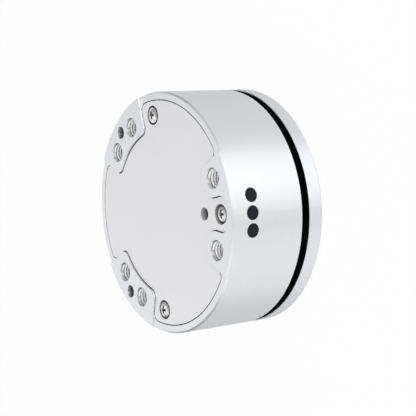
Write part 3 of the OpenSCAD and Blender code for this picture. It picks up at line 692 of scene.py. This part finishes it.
@dataclass
class Connector:
    """Panel connector: threaded nickel shell with a hexagon, contacts in a black insert."""

    hexagon_af: float = 10.0 * MM
    hexagon_t: float = 2.0 * MM
    hexagon_chamfer: float = 0.35 * MM
    thread_l: float = 4.0 * MM
    thread_pitch: float = 1.0 * MM
    crest_r: float = 3.98 * MM
    root_r: float = 3.48 * MM
    tail_r: float = 3.79 * MM
    bore_r: float = 3.005 * MM
    relief_l: float = 0.45 * MM
    lead_in: float = 0.35 * MM
    steps: int = 96
    rows_per_turn: int = 14

    def hexagon_r(self, turn: float) -> float:
        """Tell how far the hexagon's side lies from the axis.

        Args:
            turn: Angle round the axis, from a corner.

        Returns:
            The distance.
        """
        side = math.radians(60)
        return self.hexagon_af / 2 / math.cos(turn % side - side / 2)

    def thread_r(self, turn: float, along: float) -> float:
        """Tell how far the thread's surface lies from the axis.

        Args:
            turn: Angle round the axis.
            along: Distance along the thread from its start.

        Returns:
            The distance.
        """
        phase = (along / self.thread_pitch + turn / math.tau) % 1.0
        height = min(1.0, max(0.0, (abs(phase - 0.5) * 2 - 0.12) / 0.7))
        length = self.thread_l - self.relief_l
        run_in = min(1.0, along / self.lead_in, (length - along) / self.lead_in)
        return self.root_r + (self.crest_r - self.root_r) * height * max(0.0, run_in)

    def shell_rings(self) -> list[list[Vector]]:
        """Rings of the shell, outwards along its outside and back through its bore.

        Returns:
            The rings, ready for a closed sweep.
        """
        low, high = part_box("socket_shell")
        middle = (low.z + high.z) / 2
        neck = low.x + self.thread_l
        foot = neck + self.hexagon_t
        turns = [math.tau * k / self.steps for k in range(self.steps)]

        def ring(x: float, reach: Callable[[float], float]) -> list[Vector]:
            """Ring of points at x, at the distance from the axis that reach gives."""
            return [Vector((x, reach(t) * math.sin(t), middle + reach(t) * math.cos(t))) for t in turns]

        def round_ring(x: float, r: float) -> list[Vector]:
            """Round ring of radius r at x."""
            return ring(x, lambda t: r)

        rings = [round_ring(high.x, self.tail_r), round_ring(foot, self.tail_r)]
        flat = self.hexagon_af / 2 * 0.99
        rings.append(round_ring(foot, flat))
        for x in (foot - self.hexagon_chamfer, neck + self.hexagon_chamfer):
            rings.append(ring(x, self.hexagon_r))
        rings.append(round_ring(neck, flat))
        rings.append(round_ring(neck, self.root_r))
        start = neck - self.relief_l
        length = self.thread_l - self.relief_l
        rows = round(length / self.thread_pitch * self.rows_per_turn)
        for k in range(rows + 1):
            along = length * k / rows
            rings.append(ring(start - along, lambda t, along=along: self.thread_r(t, along)))
        rings.append(round_ring(low.x, self.bore_r))
        rings.append(round_ring(high.x, self.bore_r))
        return rings

    def build(self) -> None:
        """Build the shell and dress the other pieces."""
        shape = bmesh.new()
        sweep(shape, self.shell_rings(), closed=True)
        add_piece("threaded_shell", shape, SOCKET_NICKEL, "socket_shell")
        SOCKET_BLACK.dress("socket_insert")
        CONTACT_GOLD.dress("socket_contacts")
        SEAL_BLACK.dress("socket_washer")
        BOARD_GREEN.dress("socket_board")
        LEAD_FILM.dress("socket_ribbon")


@dataclass
class Housing:
    """Body, cover, flange and the seal between them."""

    def dress(self) -> None:
        """Give the outer pieces their finishes."""
        BODY_ALUMINIUM.dress("body_housing")
        COVER_ALUMINIUM.dress("cover_plate")
        FLANGE_ALUMINIUM.dress("tool_flange")
        SEAL_BLACK.dress("gap_seal")
        GASKET_GREY.dress("cover_gasket")
        BRIGHT_STEEL.dress("cover_screws", "stop_pins")
        WINDOW_SMOKE.dress("status_windows")
        LIGHT_WHITE.dress("status_lights")


@dataclass
class Mechanism:
    """Measuring cross with its gauges, screws and dowels."""

    def dress(self) -> None:
        """Give the measuring pieces their finishes."""
        CROSS_ALUMINIUM.dress("measuring_cross")
        DARK_STEEL.dress("hub_screws", "rim_screws")
        BRIGHT_STEEL.dress("hub_dowels")
        GAUGE_FOIL.dress("strain_gauges")
        LEAD_FILM.dress("gauge_leads")


@dataclass(frozen=True)
class Legs:
    """Bent legs along the sides of a chip, soldered to its board."""

    pitch: float = 0.65 * MM
    width: float = 0.25 * MM
    thick: float = 0.12 * MM
    knee: float = 0.30 * MM
    slope: float = 0.12 * MM
    toe: float = 0.45 * MM
    inset: float = 0.9 * MM

    def path(self, drop: float) -> list[tuple[float, float]]:
        """Middle line of one leg, as distances outwards and away from the board's face.

        Args:
            drop: Height at which the leg leaves the chip, over the board.

        Returns:
            Its four bends.
        """
        rest = self.thick / 2
        heel = self.knee + self.slope
        return [(0.0, drop), (self.knee, drop), (heel, rest), (heel + self.toe, rest)]

    def add(
        self, shape: bmesh.types.BMesh, side: Vector, out: Vector, up: Vector, half: float, drop: float
    ) -> None:
        """Add the legs of one side of a chip.

        Args:
            shape: The mesh to add to.
            side: Middle of the chip's side, on the board's face.
            out: Direction out of the chip.
            up: Direction away from the board.
            half: Half the side's length.
            drop: Height at which the legs leave the chip.
        """
        along = out.cross(up)
        count = int((half - self.inset) * 2 / self.pitch) + 1
        for k in range(count):
            foot = side + along * self.pitch * (k - (count - 1) / 2)
            rings = []
            for far, high in self.path(drop):
                middle = foot + out * far + up * high
                rings.append([
                    middle + along * self.width / 2 * a + up * self.thick / 2 * b
                    for a, b in ((-1, -1), (1, -1), (1, 1), (-1, 1))
                ])
            sweep(shape, rings)


@dataclass
class Electronics:
    """The two boards with what stands on them."""

    legs: Legs = Legs()
    amplifier_spread: float = 8 * MM

    def add_legs(self, node: str, upside_down: bool, spots: list[Vector], half: float, sides: int) -> None:
        """Make the legs of a node's chips as one piece.

        Args:
            node: The CAD node of the chips.
            upside_down: Whether the chips hang under their board.
            spots: Middle of each chip.
            half: Half a chip's side.
            sides: How many sides of each chip have legs, 2 or 4.
        """
        low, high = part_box(node)
        face = high.z if upside_down else low.z
        up = Vector((0, 0, -1.0 if upside_down else 1.0))
        shape = bmesh.new()
        for spot in spots:
            ahead = Vector((spot.x, spot.y, 0)).normalized() if len(spots) > 1 else Vector((1, 0, 0))
            for k in range(sides):
                quarter = 0.5 if sides == 2 else 0.0
                out = Matrix.Rotation(math.tau * (k + quarter) / sides, 3, "Z") @ ahead
                side = Vector((spot.x, spot.y, face)) + out * half
                self.legs.add(shape, side, out, up, half, (high.z - low.z) / 2)
        add_piece(node + "_legs", shape, BRIGHT_STEEL)

    def build(self) -> None:
        """Build the chips' legs, and dress the boards and their parts."""
        for node in ("processor_chip", "converter_chip", "network_chip"):
            low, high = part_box(node)
            self.add_legs(node, False, [(low + high) / 2], (high.x - low.x) / 2, 4)
        spots = lower_middles("amplifier_chips", 4, self.amplifier_spread)
        self.add_legs("amplifier_chips", True, spots, self.chip_half(spots), 2)
        BOARD_GREEN.dress("signal_board", "interface_board", "light_board")
        CHIP_BLACK.dress(
            "amplifier_chips", "converter_chip", "board_header", "processor_chip", "network_chip"
        )
        CAPACITOR_TAN.dress("board_capacitors")
        BRIGHT_STEEL.dress("board_crystal")
        STANDOFF_BRASS.dress("lower_standoffs", "upper_standoffs")
        DARK_STEEL.dress("board_screws")

    @staticmethod
    def chip_half(spots: list[Vector]) -> float:
        """Work out half the side of the amplifiers, which lie turned towards the axis.

        Args:
            spots: Middle of each amplifier.

        Returns:
            Half an amplifier's side.
        """
        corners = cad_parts["amplifier_chips"].data.vertices
        far = max(math.hypot(v.co.x, v.co.y) for v in corners)
        reach = math.hypot(spots[0].x, spots[0].y)
        return (math.sqrt(2 * far * far - reach * reach) - reach) / 2


@dataclass(frozen=True)
class Softbox:
    """One large square lamp that looks at the sensor."""

    name: str
    azimuth: float
    elevation: float
    distance: float
    width: float
    height: float
    radiance: float

    def build(self, aim: Vector) -> None:
        """Add the lamp.

        Args:
            aim: The point that it looks at.
        """
        a, e = math.radians(self.azimuth), math.radians(self.elevation)
        towards = Vector((math.cos(e) * math.cos(a), math.cos(e) * math.sin(a), math.sin(e)))
        lamp = bpy.data.lights.new(self.name, "AREA")
        lamp.shape = "RECTANGLE"
        lamp.size, lamp.size_y = self.width, self.height
        lamp.energy = self.radiance * math.pi * self.width * self.height
        made = bpy.data.objects.new(self.name, lamp)
        made.location = aim + towards * self.distance
        made.rotation_mode = "QUATERNION"
        made.rotation_quaternion = towards.to_track_quat("Z", "Y")
        bpy.context.scene.collection.objects.link(made)


@dataclass(frozen=True)
class Flag:
    """Black card that keeps light off a strip of the sensor's wall."""

    name: str
    azimuth: float
    distance: float
    width: float
    height: float

    def build(self) -> None:
        """Stand the card on the floor, facing the sensor's axis."""
        a = math.radians(self.azimuth)
        foot = Vector((math.cos(a), math.sin(a), 0)) * self.distance
        along = Vector((-math.sin(a), math.cos(a), 0)) * self.width / 2
        rise = Vector((0, 0, self.height))
        shape = bmesh.new()
        corners = (foot - along, foot + along, foot + along + rise, foot - along + rise)
        shape.faces.new([shape.verts.new(p) for p in corners])
        mesh = bpy.data.meshes.new(self.name)
        shape.to_mesh(mesh)
        shape.free()
        mesh.materials.append(CARD_BLACK.material())
        card = bpy.data.objects.new(self.name, mesh)
        bpy.context.scene.collection.objects.link(card)


@dataclass
class Studio:
    """Pale floor, soft lamps, plain sky and the camera."""

    floor_half: float = 3.0
    floor_gap: float = 0.02 * MM
    sky: float = 0.4
    sky_tint: Colour = (0.955, 0.965, 1.0)
    floor_glow: float = 0.96
    floor_gloss: float = 0.75
    lens: float = 98.31
    camera_azimuth: float = 3.65
    camera_elevation: float = 35.03
    camera_roll: float = -95.495
    camera_reach: float = 361.04 * MM
    camera_side: float = 15.11 * MM
    camera_up: float = 1.64 * MM
    paper_white: float = 0.9
    near_clip: float = 10 * MM
    lamps: tuple[Softbox, ...] = (
        Softbox("lamp_key", 26.0, 23.0, 1.2, 1.1, 1.0, 2.6),
        Softbox("lamp_side", 82.0, 25.0, 1.2, 1.1, 0.8, 0.6),
        Softbox("lamp_fill", -50.0, 33.0, 1.2, 1.5, 1.4, 1.1),
        Softbox("lamp_face", 204.0, 42.0, 1.2, 1.25, 1.6, 0.72),
        Softbox("lamp_edge", 150.0, 12.0, 1.2, 0.3, 0.5, 0.8),
    )
    flags: tuple[Flag, ...] = (Flag("flag_side", -134.0, 1.1, 0.50, 1.4),)

    def build(self) -> None:
        """Build the studio round the finished sensor."""
        self.add_floor()
        for flag in self.flags:
            flag.build()
        self.add_sky()
        aim = Vector((0, 0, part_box("body_housing")[1].z / 2))
        for lamp in self.lamps:
            lamp.build(aim)
        self.add_camera(Vector((0, 0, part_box("body_housing")[1].z)))
        bpy.context.scene.view_settings.view_transform = "Standard"

    def add_floor(self) -> None:
        """Lay the floor a hair under the sensor's resting plane."""
        shape = bmesh.new()
        lowered = Matrix.Translation((0, 0, -self.floor_gap))
        bmesh.ops.create_grid(
            shape, x_segments=1, y_segments=1, size=self.floor_half, matrix=lowered
        )
        mesh = bpy.data.meshes.new("floor")
        shape.to_mesh(mesh)
        shape.free()
        floor = bpy.data.objects.new("floor", mesh)
        bpy.context.scene.collection.objects.link(floor)
        paper = bpy.data.materials.new("white_paper")
        paper.use_nodes = True
        w = Wiring(paper.node_tree)
        paper.node_tree.nodes.remove(paper.node_tree.nodes["Principled BSDF"])
        matt, glow, mix = w.node("BsdfDiffuse"), w.node("Emission"), w.node("MixShader")
        w.feed(matt.inputs["Color"], (*(self.paper_white,) * 3, 1.0))
        w.feed(glow.inputs["Strength"], 1.0)
        path = w.node("LightPath").outputs
        mirrored = w.math("MAXIMUM", path["Is Glossy Ray"], path["Is Transmission Ray"])
        seen = w.math("MULTIPLY", path["Is Camera Ray"], self.floor_glow)
        share = w.math("MAXIMUM", seen, w.math("MULTIPLY", mirrored, self.floor_gloss))
        w.feed(mix.inputs[0], share)
        w.feed(mix.inputs[1], matt.outputs[0])
        w.feed(mix.inputs[2], glow.outputs[0])
        w.feed(paper.node_tree.nodes["Material Output"].inputs["Surface"], mix.outputs[0])
        mesh.materials.append(paper)

    def add_sky(self) -> None:
        """Set the even light from all round."""
        world = bpy.data.worlds.new("studio_sky")
        world.use_nodes = True
        w = Wiring(world.node_tree)
        plain = world.node_tree.nodes["Background"]
        w.feed(plain.inputs["Color"], (*self.sky_tint, 1.0))
        path = w.node("LightPath").outputs["Is Camera Ray"]
        w.feed(plain.inputs["Strength"], w.stretch(path, 0.0, 1.0, self.sky, 1.0))
        bpy.context.scene.world = world

    def add_camera(self, face: Vector) -> None:
        """Set the camera.

        Args:
            face: Middle of the sensor's robot side, which the view is measured from.
        """
        angles = (self.camera_azimuth, self.camera_elevation, self.camera_roll)
        a, e, roll = (math.radians(v) for v in angles)
        back = Vector((math.cos(e) * math.cos(a), math.cos(e) * math.sin(a), math.sin(e)))
        level = Vector((-math.sin(a), math.cos(a), 0))
        rise = back.cross(level)
        right = level * math.cos(roll) + rise * math.sin(roll)
        up = rise * math.cos(roll) - level * math.sin(roll)
        camera = bpy.data.objects.new("camera", bpy.data.cameras.new("camera"))
        camera.data.lens = self.lens
        camera.data.clip_start = self.near_clip
        place = face + right * self.camera_side + up * self.camera_up + back * self.camera_reach
        turn = Matrix((right, up, back)).transposed()
        camera.matrix_world = Matrix.Translation(place) @ turn.to_4x4()
        bpy.context.scene.collection.objects.link(camera)
        bpy.context.scene.camera = camera


def main() -> None:
    """Build and dress the sensor, then its studio."""
    logging.basicConfig(level=logging.INFO, format="%(message)s")
    Housing().dress()
    ThreadInserts().build()
    Connector().build()
    Mechanism().dress()
    Electronics().build()
    Studio().build()


if __name__ == "__main__":
    main()
